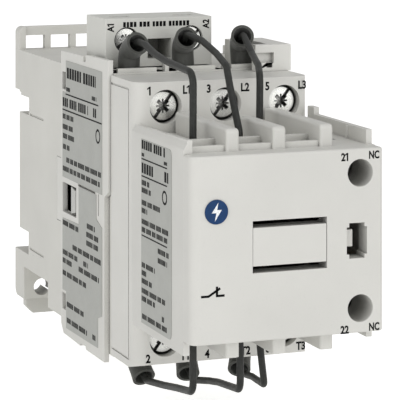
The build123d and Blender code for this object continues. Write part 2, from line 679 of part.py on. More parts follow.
def aux_housing():
    """Shell of the pre-charge block, open towards its front cover."""
    rear = FACE + 0.03
    front = BLOCK_SHELL_FRONT
    body = block((-BLOCK_HALF, BLOCK_HALF), (rear, front), (BLOCK_BOTTOM, BLOCK_TOP))
    # raised wall on the left, which slopes outwards and reaches below the block
    left_wall = [(rear, 24.2), (front, 25.0), (front, 20.0), (rear, 20.0)]
    body += side_profile(left_wall, (-BLOCK_HALF + 0.9, -20.6))
    shoulder = -BLOCK_HALF + 1.0
    slope = [(-BLOCK_HALF, 22.9), (shoulder, 24.4), (shoulder, 20.0), (-BLOCK_HALF, 20.0)]
    body += front_profile(slope, (rear, front))
    skirt = [(rear + 0.6, -17.5), (rear + 0.6, -20.4), (rear + 1.6, CHEEK_BOTTOM),
             (front, CHEEK_BOTTOM), (front, -17.5)]
    body += side_profile(skirt, (-BLOCK_HALF, -21.25))
    # raised wall on the right, with an ear at its rear
    body += block((21.25, BLOCK_HALF), (99.0, 130.5), (BLOCK_TOP - 1, 25.2))
    body += block((21.25, BLOCK_HALF), (rear, 101.3), (BLOCK_TOP - 1, 26.8))
    body += block((21.25, BLOCK_HALF), (99.0, 130.5), (-21.0, BLOCK_BOTTOM + 1))
    body += block((20.9, 21.4), (119.9, 120.7), (BLOCK_TOP - 1, 25.0))
    body = comb_fins(body)
    body -= block((-20.8, 20.8), (FACE + 2.0, BLOCK_FRONT), (-16.6, 20.1))
    # partitions between the four chambers
    for x in FIN_X:
        body += block((x - 0.6, x + 0.6), (FACE + 1.9, BLOCK_SHELL_FRONT), (9.0, 20.2))
        body += block((x - 0.6, x + 0.6), (FACE + 1.9, BLOCK_SHELL_FRONT), (-16.7, -6.0))
    # ribs across the channels, in front of the lead holes
    for low, high in ((-20.7, -12.3), (-9.5, -1.3), (1.5, 9.9)):
        body += block((low, high), (123.2, 124.4), (BLOCK_TOP - 1, 24.0))
        body += block((low, high), (128.9, 130.2), (BLOCK_TOP - 1, 23.3))
        body += block((low, high), (123.2, 124.4), (-20.6, BLOCK_BOTTOM + 1))
    for x, depth in zip(LEAD_XS, LEAD_DEPTHS):
        body -= rod_up(LEAD_R + 0.35, x, depth, (18.0, 24.0))
        body -= rod_up(LEAD_R + 0.35, x, depth, (-20.0, -15.0))
    # wire entries of the auxiliary terminals
    entry = ((AUX_NC_X - 2.4, AUX_NC_X + 0.8), (119.95, 121.6))
    body -= block(*entry, (18.0, 24.0))
    body -= block(*entry, (-20.0, -15.0))
    # opening for the carrier's spigot
    body -= block((-6.5, 6.5), (FACE - 1, FACE + 3), (-2.6, 2.6))
    return body


def aux_cover():
    """Front plate of the pre-charge block with two screw holes and a slider window."""
    depth = (BLOCK_SHELL_FRONT + 0.03, BLOCK_FRONT)
    body = block((-BLOCK_HALF, BLOCK_HALF), depth, (BLOCK_BOTTOM, BLOCK_TOP))
    body = round_upright(body, 2.2, lambda c: c.Y < -BLOCK_FRONT + 0.1 and c.X < 0)
    body = round_upright(body, 1.0, lambda c: c.Y < -BLOCK_FRONT + 0.1 and c.X > 0)
    rim = [e for e in body.edges().filter_by(Axis.X) if e.center().Y < -BLOCK_FRONT + 0.1]
    body = fillet(rim, 0.5)
    for z in AUX_HOLES_Z:
        body += rod_out(AUX_HOLE_R + 0.45, AUX_NC_X, z, (125.6, BLOCK_SHELL_FRONT + 0.5))
        body -= rod_out(AUX_HOLE_R, AUX_NC_X, z, (125.0, BLOCK_FRONT + 1))
    mouths = [e for e in body.edges().filter_by(GeomType.CIRCLE)
              if e.center().Y < -BLOCK_FRONT + 0.01 and abs(e.radius - AUX_HOLE_R) < 0.01]
    body = fillet(mouths, 0.2)
    # window round the position indicator, with stepped corners
    body -= block((14.4, 18.1), (131, 138), (-2.1, 5.7))
    body -= block((13.8, 18.7), (131, 138), (-1.2, 4.8))
    # recess of the marker plate, with a finger slot right through above and below it
    body -= block((-8.4, 9.1), (135.2, 138), (-2.35, 6.05))
    for slot in ((6.0, 7.5), (-3.75, -2.3)):
        body -= block((-8.4, 9.1), (131, 138), slot)
    return body


def marker_plate():
    """Blank plate for a circuit number, held in the block's front."""
    return block((-8.3, 9.0), (135.22, BLOCK_FRONT - 0.05), (-2.3, 6.0))


def badge():
    """Thin round plate on the front of the block."""
    front = BLOCK_FRONT + 0.3
    disc = rod_out(2.65, -16.8, 10.0, (BLOCK_FRONT, front))
    rim = [e for e in disc.edges().filter_by(GeomType.CIRCLE) if e.center().Y < -front + 0.1]
    return fillet(rim, 0.12)


def aux_slider():
    """Sliding cross-bar of the block, driven by the carrier's spigot."""
    body = block((-19.5, 19.5), (104.6, 107.6), (-2.5, 5.5))
    for x in AUX_POLES + (AUX_NC_X,):
        body += block((x - 2.4, x + 2.4), (107.5, 119.6), (-1.0, 4.0))
        body -= block((x - 1.6, x + 1.6), (110.0, 118.4), (-2.0, 5.0))
    # claw that takes hold of the spigot's head
    body += block((-6.0, 6.0), (100.1, 105.0), (-2.0, 2.0))
    for side in SIDES:
        body += block(sorted((side * 4.5, side * 6.0)), (96.6, 100.2), (-2.0, 2.0))
        body += block(sorted((side * 2.9, side * 6.0)), (96.6, 98.3), (-2.0, 2.0))
    return body


def position_indicator():
    """Light finger on the slider, seen through the window in the front."""
    return block((14.0, 16.05), (119.65, 134.6), (0.2, 4.0))


def aux_bridge(x, depth, front):
    """One bridge; its tips face the panel (front = -1) or the front (front = 1)."""
    bar = block((x - 1.5, x + 1.5), (depth, depth + 0.9), (-5.2, 8.2))
    rear = (depth - 0.6, depth + 0.1)
    ahead = (depth + 0.8, depth + 1.5)
    for z in (-4.0, 7.0):
        bar += rod_out(1.0, x, z, rear if front < 0 else ahead)
    return bar


def aux_bridges():
    """Moving bridges of the three pre-charge contacts and of the auxiliary contact."""
    bars = []
    for x in AUX_POLES:
        bars.append(aux_bridge(x, 110.1, -1))
    bars.append(aux_bridge(AUX_NC_X, 117.3, 1))
    return group(*bars)


def aux_springs():
    """Contact springs of the block's four bridges."""
    coils = []
    for x, depth in zip(AUX_POLES + (AUX_NC_X,), (111.15, 111.15, 111.15, 110.1)):
        coil = Rot(90, 0, 0) * spring(1.1, 0.2, 7.1, 5)
        coils.append(Pos(x, -depth, 1.5) * coil)
    return group(*coils)


def precharge_contacts():
    """Fixed contacts of the pre-charge poles, each ending in a lug for its lead."""
    pieces = []
    for x, lead_x, depth in zip(AUX_POLES, LEAD_XS, LEAD_DEPTHS):
        for end, tip in ((LUG_TOP - 0.02, 7.0), (LUG_BOTTOM + 0.02, -4.0)):
            up = 1 if end > 0 else -1
            leg = sorted((tip - up * 1.2, end))
            strap = block((x - 1.6, x + 1.6), (103.05, 104.0), leg)
            tongue = sorted((end - up * 0.9, end))
            width = (min(x, lead_x) - 1.6, max(x, lead_x) + 1.6)
            strap += block(width, (103.05, depth + 1.6), tongue)
            strap += rod_out(1.0, x, tip, (103.9, 104.42))
            pieces.append(strap)
    return group(*pieces)


def aux_contacts():
    """Fixed contacts of the auxiliary pole, led to its two screw terminals."""
    pieces = []
    for z, tip in zip(AUX_HOLES_Z, (7.0, -4.0)):
        past_tip = tip - 1.2 if tip > 0 else tip + 1.2
        low, high = sorted((past_tip, z))
        bar = block((AUX_NC_X - 1.6, AUX_NC_X + 1.6), (119.0, 119.9), (low, high))
        bar += rod_out(1.0, AUX_NC_X, tip, (118.82, 119.1))
        pieces.append(bar)
    return group(*pieces)


def aux_clamps():
    """Square washers under the two small terminal screws."""
    washers = []
    for z in AUX_HOLES_Z:
        plate = block((AUX_NC_X - 2.9, AUX_NC_X + 2.9), (121.6, 122.5), (z - 2.9, z + 2.9))
        washers.append(plate - rod_out(1.56, AUX_NC_X, z, (121, 123)))
    return group(*washers)


def aux_screws():
    """Two small screws of terminals 21 and 22, deep in their holes."""
    screws = []
    for z in AUX_HOLES_Z:
        screw = rod_out(2.8, AUX_NC_X, z, (122.55, 125.2))
        screw += rod_out(1.5, AUX_NC_X, z, (119.95, 123.0))
        screws.append(screw - cross_recess(AUX_NC_X, z, 125.2, 4.0, 1.4))
    return group(*screws)


# ---------------------------------------------------------------- leads and boots
BOOT_LEG_R = 2.65
BOOT_HOOD_R = 2.8
BOOT_BORE_R = 2.15


def boot(foot, corner, mouth):
    """Elbow-shaped insulating boot: upright leg, and a wider hood open to the front."""
    path = rounded_path([foot, corner, mouth], LEAD_BEND)
    middle = tuple((c + m) / 2 for c, m in zip(corner, mouth))
    body = tube_along(path, BOOT_LEG_R)
    body += cone_between(middle, mouth, BOOT_LEG_R, BOOT_HOOD_R)
    past_mouth = tuple(m + 0.2 * (m - c) for c, m in zip(corner, mouth))
    return body - tube_along(rounded_path([foot, corner, past_mouth], LEAD_BEND), BOOT_BORE_R)


def line_boots():
    """Boots over the upper terminals' wires; their mouths point forward and up."""
    boots = []
    for x, lean, corner_z in zip(BOOT_X, (0.7, -1.0, -1.9), (38.9, 39.8, 39.8)):
        foot = (x, BOOT_DEPTH, corner_z - 7.0)
        corner = (x + 0.3 * lean, BOOT_DEPTH, corner_z)
        boots.append(boot(foot, corner, (x + lean, BOOT_DEPTH + 4.9, corner_z + 2.3)))
    return group(*boots)


def load_boots():
    """Boots over the lower terminals' wires; their mouths point forward and down."""
    boots = []
    for x, lean in zip(LOW_BOOT_X, (0.4, -1.3, -2.7)):
        foot = (x, BOOT_DEPTH, -31.4)
        corner = (x + 0.3 * lean, BOOT_DEPTH, -35.6)
        boots.append(boot(foot, corner, (x + lean, BOOT_DEPTH + 3.9, -38.7)))
    return group(*boots)


def lead_pins():
    """Crimped pins of the six leads, gripped in the cage clamps under the boots."""
    pins = [rod_up(PIN_R, x, BOOT_DEPTH, (25.5, 37.4)) for x in BOOT_X]
    pins += [rod_up(PIN_R, x, BOOT_DEPTH, (-34.0, -23.2)) for x in LOW_BOOT_X]
    return group(*pins)


def lead(points):
    """Insulated damping lead: straight stretches with rounded bends."""
    return tube_along(rounded_path(points, LEAD_BEND), LEAD_R)


def line_leads():
    """Upper leads, from the terminals over the face into the block."""
    first = [(-15.4, 76.7, 40.2), (-15.1, 80.2, 41.6), (-15.2, 86.0, 41.3), (-15.6, 93.0, 40.0)]
    first += [(-15.8, 102.0, 39.0), (-16.3, 121.0, 38.2), (-16.4, 121.0, LUG_TOP)]
    second = [(-2.3, 76.7, 41.1), (-2.6, 80.3, 42.9), (-1.8, 88.0, 42.1), (-2.0, 98.0, 40.0)]
    second += [(-3.0, 107.0, 38.0), (-4.6, 113.5, 33.7), (-5.2, 120.5, 24.9), (-5.1, 120.5, LUG_TOP)]
    third = [(12.2, 76.7, 41.0), (11.7, 80.6, 42.4), (9.8, 91.0, 38.8), (7.3, 101.0, 37.2)]
    third += [(5.0, 107.7, 35.2), (4.8, 107.7, LUG_TOP)]
    return group(lead(first), lead(second), lead(third))


def load_leads():
    """Lower leads, from the terminals below the face into the block."""
    first = [(-13.4, 76.7, -36.9), (-13.2, 81.0, -39.0), (-13.8, 94.0, -37.0), (-15.0, 107.0, -34.6)]
    first += [(-16.3, 121.0, -32.2), (-16.4, 121.0, LUG_BOTTOM)]
    second = [(-1.6, 76.7, -36.9), (-1.6, 82.0, -39.6), (-1.1, 91.0, -37.8), (-1.5, 98.0, -36.5)]
    second += [(-4.9, 120.5, -32.8), (-5.1, 120.5, LUG_BOTTOM)]
    third = [(11.9, 76.7, -36.9), (11.7, 82.0, -39.4), (11.0, 88.0, -38.5), (9.6, 95.0, -37.7)]
    third += [(7.6, 104.0, -36.5), (5.2, 107.7, -28.2), (4.8, 107.7, -24.0), (4.8, 107.7, LUG_BOTTOM)]
    return group(lead(first), lead(second), lead(third))


# ---------------------------------------------------------------- labels
LABEL_THICKNESS = 0.12


def rating_label():
    """Printed label on the left side plate, in two areas above and below a groove."""
    limits = (-HALF - LABEL_THICKNESS, -HALF)
    upper = [(46.4, 34.2), (75.4, 34.2), (75.4, 4.8), (43.6, 4.8), (43.6, 26.2), (46.4, 26.2)]
    lower = [(57.0, 4.15), (71.0, 4.15), (71.0, -1.6), (75.4, -3.2), (75.4, -24.2), (72.2, -25.2),
             (72.2, -32.4), (46.6, -32.8), (46.6, -23.6), (43.6, -23.6), (43.6, -5.6), (57.0, -5.2)]
    return group(side_profile(upper, limits), side_profile(lower, limits))


def block_label():
    """Printed label on the left cheek of the pre-charge block."""
    limits = (-BLOCK_HALF - LABEL_THICKNESS, -BLOCK_HALF)
    sheet = block(limits, (104.6, 124.6), (-19.6, 22.0))
    corners = [e for e in sheet.edges().filter_by(Axis.X) if e.center().Y < -124.5]
    return fillet(corners, 1.5)


# ---------------------------------------------------------------- all sub-parts
NODES = {
    "base_housing": base_housing,
    "rail_latch": rail_latch,
    "latch_spring": latch_spring,
    "fixed_core": fixed_core,
    "shading_rings": shading_rings,
    "core_cushion": core_cushion,
    "armature": armature,
    "armature_pin": armature_pin,
    "coil_bobbin": coil_bobbin,
    "coil_winding": coil_winding,
    "return_springs": return_springs,
    "coil_terminal_block": coil_terminal_block,
    "coil_clamps": coil_clamps,
    "coil_screws": coil_screws,
    "contact_housing": contact_housing,
    "side_hood": side_hood,
    "left_side_cover": lambda: side_cover(-1),
    "right_side_cover": lambda: side_cover(1),
    "side_snaps": lambda: group(side_snap(-1), side_snap(1)),
    "line_contacts": line_contacts,
    "load_contacts": load_contacts,
    "moving_contacts": moving_contacts,
    "contact_springs": contact_springs,
    "contact_carrier": contact_carrier,
    "arc_plates": arc_plates,
    "line_clamps": line_clamps,
    "load_clamps": load_clamps,
    "line_screws": line_screws,
    "load_screws": load_screws,
    "front_cover": front_cover,
    "aux_housing": aux_housing,
    "aux_cover": aux_cover,
    "marker_plate": marker_plate,
    "badge": badge,
    "aux_slider": aux_slider,
    "position_indicator": position_indicator,
    "aux_bridges": aux_bridges,
    "aux_springs": aux_springs,
    "precharge_contacts": precharge_contacts,
    "aux_contacts": aux_contacts,
    "aux_clamps": aux_clamps,
    "aux_screws": aux_screws,
    "line_boots": line_boots,
    "load_boots": load_boots,
    "lead_pins": lead_pins,
    "line_leads": line_leads,
    "load_leads": load_leads,
    "rating_label": rating_label,
    "block_label": block_label,
}

os.makedirs("parts", exist_ok=True)
for name, make in NODES.items():
    export_step(make(), f"parts/{name}.step")
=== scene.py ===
import json
import math
import random

import bmesh
import bpy
from mathutils import Matrix, Vector


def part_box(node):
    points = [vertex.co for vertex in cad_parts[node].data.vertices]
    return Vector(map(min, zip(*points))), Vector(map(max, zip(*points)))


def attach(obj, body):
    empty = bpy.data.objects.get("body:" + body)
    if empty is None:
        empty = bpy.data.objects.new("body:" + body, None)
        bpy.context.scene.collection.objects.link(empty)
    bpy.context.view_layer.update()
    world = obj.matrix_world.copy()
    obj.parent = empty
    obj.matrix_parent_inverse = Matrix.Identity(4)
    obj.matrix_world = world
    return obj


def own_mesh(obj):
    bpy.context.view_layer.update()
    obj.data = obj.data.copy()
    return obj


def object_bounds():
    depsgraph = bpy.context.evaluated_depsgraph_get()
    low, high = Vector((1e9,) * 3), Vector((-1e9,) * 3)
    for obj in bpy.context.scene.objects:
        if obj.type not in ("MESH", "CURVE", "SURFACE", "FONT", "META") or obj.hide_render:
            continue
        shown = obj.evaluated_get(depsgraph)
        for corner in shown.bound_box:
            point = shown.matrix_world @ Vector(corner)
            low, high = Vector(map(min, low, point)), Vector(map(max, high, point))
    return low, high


# Looks of the rail-mounted contactor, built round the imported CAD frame.
# Lengths in this script are millimetres; mesh coordinates are metres (MM converts).
# X is to the right seen from the front, Z is up, and "depth" is the distance out from
# the panel (y = -depth).

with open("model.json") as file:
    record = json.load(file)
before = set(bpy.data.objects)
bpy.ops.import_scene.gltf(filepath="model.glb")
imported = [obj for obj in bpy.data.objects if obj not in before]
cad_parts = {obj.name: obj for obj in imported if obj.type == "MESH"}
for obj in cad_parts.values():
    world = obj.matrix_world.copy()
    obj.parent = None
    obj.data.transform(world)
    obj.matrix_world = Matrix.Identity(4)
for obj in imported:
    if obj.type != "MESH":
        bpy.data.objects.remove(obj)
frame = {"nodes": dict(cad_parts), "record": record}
cad_low, cad_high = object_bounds()

MM = 0.001


def spot(x, depth, z):
    """Point of the frame, in metres, from millimetres."""
    return Vector((x, -depth, z)) * MM


def reach(node):
    """Front face of a CAD node, as a depth in millimetres."""
    return -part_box(node)[0].y / MM


# ---------------------------------------------------------------- material recipes
def tone(red, green, blue):
    """Linear colour from the 0-255 values that a screen shows."""
    linear = [((c / 255 + 0.055) / 1.055) ** 2.4 for c in (red, green, blue)]
    return (*linear, 1.0)


def scaled(colour, factor):
    """The same colour, lighter or darker."""
    return (*[c * factor for c in colour[:3]], 1.0)


class Recipe:
    """One material's node tree, with short calls for the nodes that it needs."""

    def __init__(self, name):
        self.material = bpy.data.materials.new(name)
        self.material.use_nodes = True
        self.tree = self.material.node_tree
        self.tree.nodes.clear()
        self.surface = self.tree.nodes.new("ShaderNodeBsdfPrincipled")
        output = self.tree.nodes.new("ShaderNodeOutputMaterial")
        self.tree.links.new(self.surface.outputs[0], output.inputs["Surface"])
        self.place = self.tree.nodes.new("ShaderNodeTexCoord").outputs["Object"]

    def feed(self, socket, value):
        """Link a socket to another one, or set its value."""
        if isinstance(value, bpy.types.NodeSocket):
            self.tree.links.new(value, socket)
        else:
            socket.default_value = value

    def finish(self, name, value):
        """Set one input of the surface."""
        self.feed(self.surface.inputs[name], value)

    def noise(self, size, detail=2.0, stretch=None):
        """Noise whose blobs measure about size millimetres."""
        node = self.tree.nodes.new("ShaderNodeTexNoise")
        node.inputs["Scale"].default_value = 1 / (size * MM)
        node.inputs["Detail"].default_value = detail
        self.feed(node.inputs["Vector"], self.place if stretch is None else self.stretched(stretch))
        return node.outputs[0]

    def stretched(self, factors):
        """Coordinates scaled by a different factor on each axis."""
        node = self.tree.nodes.new("ShaderNodeVectorMath")
        node.operation = "MULTIPLY"
        self.feed(node.inputs[0], self.place)
        node.inputs[1].default_value = factors
        return node.outputs[0]

    def between(self, value, low, high, start=0.0, end=1.0):
        """Map the stretch from low to high onto start to end, clamped."""
        node = self.tree.nodes.new("ShaderNodeMapRange")
        for socket, given in zip(node.inputs, (value, low, high, start, end)):
            self.feed(socket, given)
        return node.outputs[0]

    def mix(self, share, first, second):
        """Mix two colours."""
        node = self.tree.nodes.new("ShaderNodeMix")
        node.data_type = "RGBA"
        self.feed(node.inputs[0], share)
        self.feed(node.inputs[6], first)
        self.feed(node.inputs[7], second)
        return node.outputs[2]

    def maths(self, operation, first, second=0.0):
        """One arithmetic step."""
        node = self.tree.nodes.new("ShaderNodeMath")
        node.operation = operation
        self.feed(node.inputs[0], first)
        self.feed(node.inputs[1], second)
        return node.outputs[0]

    def edge(self, width):
        """0 on flat ground and up to 1 on edges, within width millimetres."""
        bevel = self.tree.nodes.new("ShaderNodeBevel")
        bevel.samples = 4
        bevel.inputs["Radius"].default_value = width * MM
        flat = self.tree.nodes.new("ShaderNodeNewGeometry").outputs["Normal"]
        dot = self.tree.nodes.new("ShaderNodeVectorMath")
        dot.operation = "DOT_PRODUCT"
        self.feed(dot.inputs[0], bevel.outputs[0])
        self.feed(dot.inputs[1], flat)
        return self.between(dot.outputs["Value"], 0.995, 0.80)

    def crevice(self, distance, open_at=0.75, closed_at=0.15):
        """Up to 1 in corners and narrow gaps, within distance millimetres."""
        node = self.tree.nodes.new("ShaderNodeAmbientOcclusion")
        node.samples = 6
        node.inputs["Distance"].default_value = distance * MM
        return self.between(node.outputs["AO"], open_at, closed_at)

    def bump(self, height, depth, under=None):
        """Raise the surface by a height map, by up to depth millimetres."""
        node = self.tree.nodes.new("ShaderNodeBump")
        node.inputs["Distance"].default_value = depth * MM
        self.feed(node.inputs["Height"], height)
        if under is not None:
            self.feed(node.inputs["Normal"], under)
        return node.outputs[0]


PIT_SHADE_REACH = 6.5           # openings narrower than this, in millimetres, get painted shade inside
WAVE_FOR_ONE_METRE = 0.314  # wave texture scale that repeats once in a metre
SHEET_PITCH = 0.5         # thickness of one core sheet
WIRE_PITCH = 0.32         # winding wire from turn to turn


def moulded_plastic(name, colour, roughness=0.42, grain=0.16, wear_and_highlight=0.35, crevice_shade=0.55):
    """Moulded thermoplastic: fine spark-eroded grain, faint flow patches, paler edges (partly wear, partly
    painted highlight), painted shade in corners and deep openings.
    """
    recipe = Recipe(name)
    patches = recipe.between(recipe.noise(16, 3.0), 0.3, 0.7)
    body = recipe.mix(patches, scaled(colour, 0.965), scaled(colour, 1.025))
    speckle = recipe.between(recipe.noise(0.45, 1.0), 0.62, 0.78, 0.0, 0.10)
    body = recipe.mix(speckle, body, scaled(colour, 0.72))
    patchy = recipe.between(recipe.noise(2.2), 0.25, 0.6, 0.3, 1.0)
    # Paler edges: partly patchy edge wear, partly a painted highlight along the edges.
    rubbed_and_highlit = recipe.maths("MULTIPLY", recipe.edge(0.45), patchy)
    body = recipe.mix(recipe.maths("MULTIPLY", rubbed_and_highlit, wear_and_highlight), body, tone(244, 244, 240))
    # Painted shade: corners and narrow gaps within 1.3 mm are darkened.
    corner_shade = recipe.maths("MULTIPLY", recipe.crevice(1.3), crevice_shade)
    body = recipe.mix(corner_shade, body, scaled(colour, 0.28))
    # Painted shade: the inside of deep openings is darkened almost to black.
    pit_shade = recipe.maths("MULTIPLY", recipe.crevice(PIT_SHADE_REACH, 0.35, 0.05), 0.9)
    body = recipe.mix(pit_shade, body, scaled(colour, 0.05))
    recipe.finish("Base Color", body)
    sheen = recipe.between(recipe.noise(5.0, 2.0), 0.3, 0.7, roughness - 0.05, roughness + 0.06)
    recipe.finish("Roughness", sheen)
    recipe.finish("IOR", 1.49)
    swell = recipe.bump(recipe.noise(9.0, 1.0), 0.03)
    recipe.finish("Normal", recipe.bump(recipe.noise(grain, 2.0), 0.012, swell))
    return recipe.material


def soft_rubber(name, colour, roughness=0.62, grain=0.22):
    """Moulded rubber: matt, with a fine skin, scuffs and a painted highlight on its edges."""
    recipe = Recipe(name)
    scuffs = recipe.between(recipe.noise(1.6, 4.0), 0.48, 0.72)
    body = recipe.mix(scuffs, colour, scaled(colour, 1.55))
    # Painted highlight: edges are lightened to up to three times the colour.
    body = recipe.mix(recipe.maths("MULTIPLY", recipe.edge(0.5), 0.35), body, scaled(colour, 3.0))
    recipe.finish("Base Color", body)
    recipe.finish("Roughness", recipe.between(scuffs, 0.0, 1.0, roughness - 0.08, roughness + 0.1))
    recipe.finish("Sheen Weight", 0.25)
    recipe.finish("Sheen Roughness", 0.45)
    recipe.finish("Normal", recipe.bump(recipe.noise(grain, 3.0), 0.02))
    return recipe.material


def cable_jacket(name, colour):
    """Extruded insulation: slightly glossy, with faint lighter patches and a fine bumpy skin."""
    recipe = Recipe(name)
    wear = recipe.between(recipe.noise(1.1, 3.0), 0.4, 0.75)
    recipe.finish("Base Color", recipe.mix(wear, colour, scaled(colour, 1.7)))
    recipe.finish("Roughness", recipe.between(wear, 0.0, 1.0, 0.38, 0.52))
    recipe.finish("Specular IOR Level", 0.32)
    recipe.finish("Normal", recipe.bump(recipe.noise(0.5, 2.0), 0.03))
    return recipe.material


def plated_metal(name, colour, roughness=0.28, brushed=(1.0, 1.0, 1.0), tarnish=0.25):
    """Plated or bare metal: drawn or stamped texture, soft tarnish in patches and painted shade in recesses.
    """
    recipe = Recipe(name)
    clouds = recipe.between(recipe.noise(1.8, 4.0), 0.35, 0.75)
    body = recipe.mix(recipe.maths("MULTIPLY", clouds, tarnish), colour, scaled(colour, 0.55))
    # Painted shade: recesses are darkened almost to black.
    crevice_shade = recipe.maths("MULTIPLY", recipe.crevice(2.2, 0.72, 0.42), 0.97)
    body = recipe.mix(crevice_shade, body, scaled(colour, 0.07))
    recipe.finish("Base Color", body)
    recipe.finish("Metallic", 1.0)
    lines = recipe.noise(0.12, 3.0, brushed)
    recipe.finish("Roughness", recipe.between(lines, 0.2, 0.8, roughness - 0.08, roughness + 0.12))
    recipe.finish("Normal", recipe.bump(lines, 0.006))
    return recipe.material


def laminated_steel(name, colour):
    """Stack of thin sheets: regular joint lines along Z, dull and oily."""
    recipe = Recipe(name)
    wave = recipe.tree.nodes.new("ShaderNodeTexWave")
    wave.bands_direction = "Z"
    wave.inputs["Scale"].default_value = WAVE_FOR_ONE_METRE / (SHEET_PITCH * MM)
    wave.inputs["Distortion"].default_value = 0.3
    recipe.feed(wave.inputs["Vector"], recipe.place)
    joint = recipe.between(wave.outputs[1], 0.0, 0.35)
    body = recipe.mix(joint, scaled(colour, 0.35), colour)
    rust = recipe.between(recipe.noise(3.0, 5.0), 0.6, 0.8, 0.0, 0.35)
    recipe.finish("Base Color", recipe.mix(rust, body, tone(120, 84, 60)))
    recipe.finish("Metallic", 0.9)
    recipe.finish("Roughness", 0.46)
    recipe.finish("Normal", recipe.bump(joint, 0.03))
    return recipe.material


def wound_copper(name, colour):
    """Enamelled wire laid turn by turn along the coil's depth."""
    recipe = Recipe(name)
    wave = recipe.tree.nodes.new("ShaderNodeTexWave")
    wave.bands_direction = "Y"
    wave.inputs["Scale"].default_value = WAVE_FOR_ONE_METRE / (WIRE_PITCH * MM)
    wave.inputs["Distortion"].default_value = 0.6
    recipe.feed(wave.inputs["Vector"], recipe.place)
    turns = wave.outputs[1]
    recipe.finish("Base Color", recipe.mix(turns, scaled(colour, 0.35), colour))
    recipe.finish("Metallic", 0.85)
    recipe.finish("Roughness", 0.3)
    recipe.finish("Coat Weight", 0.5)
    recipe.finish("Normal", recipe.bump(turns, 0.08))
    return recipe.material


def printed_film(name, colour):
    """Satin label film with a fine mottled coat."""
    recipe = Recipe(name)
    mottle = recipe.between(recipe.noise(4.0, 4.0), 0.3, 0.7)
    body = recipe.mix(mottle, scaled(colour, 0.965), scaled(colour, 1.03))
    recipe.finish("Base Color", body)
    recipe.finish("Roughness", recipe.between(recipe.noise(0.7, 2.0), 0.3, 0.7, 0.4, 0.5))
    recipe.finish("Normal", recipe.bump(recipe.noise(0.3, 2.0), 0.006))
    return recipe.material


def printing_ink(name, colour):
    """Pad-printed ink: slightly uneven cover with a matt surface."""
    recipe = Recipe(name)
    thin = recipe.between(recipe.noise(0.35, 3.0), 0.5, 0.8, 0.0, 0.35)
    recipe.finish("Base Color", recipe.mix(thin, colour, scaled(colour, 3.0)))
    recipe.finish("Roughness", 0.6)
    recipe.finish("Specular IOR Level", 0.12)
    recipe.finish("Normal", recipe.bump(recipe.noise(0.2, 2.0), 0.004))
    return recipe.material


def badge_enamel(name, colour):
    """Glossy printed badge under a clear coat."""
    recipe = Recipe(name)
    depth = recipe.between(recipe.noise(1.5, 2.0), 0.3, 0.7)
    recipe.finish("Base Color", recipe.mix(depth, scaled(colour, 0.9), scaled(colour, 1.12)))
    recipe.finish("Roughness", 0.42)
    recipe.finish("Specular IOR Level", 0.2)
    recipe.finish("Coat Weight", 0.2)
    recipe.finish("Coat Roughness", 0.15)
    recipe.finish("Normal", recipe.bump(recipe.noise(0.4, 1.0), 0.004))
    return recipe.material


MATERIALS = {
    "housing": moulded_plastic("housing_plastic", tone(219, 218, 212), 0.46),
    "cover": moulded_plastic("cover_plastic", tone(224, 223, 218), 0.44),
    "block_plastic": moulded_plastic("block_plastic", tone(217, 216, 211), 0.42),
    "terminal_block": moulded_plastic("terminal_plastic", tone(220, 220, 214), 0.46),
    "latch_plastic": moulded_plastic("latch_plastic", tone(214, 213, 207), 0.4),
    "snap_plastic": moulded_plastic("snap_plastic", tone(200, 200, 196), 0.4),
    "marker": moulded_plastic("marker_plastic", tone(218, 217, 212), 0.36, crevice_shade=0.35),
    "dark_plastic": moulded_plastic("black_plastic", tone(46, 46, 45), 0.5, wear_and_highlight=0.08),
    "label": printed_film("label_film", tone(178, 179, 174)),
    "badge_blue": badge_enamel("badge_blue", tone(10, 56, 104)),
    "boot_rubber": soft_rubber("boot_rubber", tone(66, 67, 63)),
    "lead_rubber": cable_jacket("lead_jacket", tone(42, 43, 41)),
    "cushion_rubber": soft_rubber("cushion_rubber", tone(38, 38, 38)),
    "screw_steel": plated_metal("bright_zinc", tone(236, 236, 232), 0.26),
    "zinc": plated_metal("dull_zinc", tone(196, 197, 194), 0.36, (1.0, 1.0, 0.2)),
    "spring_steel": plated_metal("spring_wire", tone(182, 182, 180), 0.3, (0.3, 1.0, 1.0)),
    "plate_steel": plated_metal("stamped_steel", tone(176, 174, 168), 0.4),
    "core_steel": laminated_steel("core_steel", tone(150, 150, 150)),
    "copper": plated_metal("bare_copper", tone(214, 140, 104), 0.32),
    "copper_alloy": plated_metal("contact_alloy", tone(214, 176, 122), 0.34, (1.0, 1.0, 0.2)),
    "winding": wound_copper("enamelled_wire", tone(176, 96, 56)),
}
INK = printing_ink("black_ink", tone(12, 12, 13))
WHITE_INK = printing_ink("white_ink", tone(238, 240, 242))


# ---------------------------------------------------------------- CAD nodes: finish and softened edges
def dress(node, radius):
    """Give a CAD node its material and round its sharp edges by radius millimetres."""
    piece = frame["nodes"][node]
    slot = next(s["material_slot"] for s in frame["record"]["subparts"] if s["node"] == node)
    piece.data.materials.clear()
    piece.data.materials.append(MATERIALS[slot])
    if radius == 0:
        return
    weld = piece.modifiers.new("weld", "WELD")
    weld.merge_threshold = 1e-6
    flatten = piece.modifiers.new("flatten", "DECIMATE")
    flatten.decimate_type = "DISSOLVE"
    flatten.angle_limit = math.radians(0.6)
    soften = piece.modifiers.new("soften", "BEVEL")
    soften.width = radius * MM
    soften.segments = 2
    soften.limit_method = "ANGLE"
    soften.angle_limit = math.radians(38)
    soften.use_clamp_overlap = True
    soften.miter_outer = "MITER_ARC"
    weighted = piece.modifiers.new("weighted", "WEIGHTED_NORMAL")
    weighted.keep_sharp = False


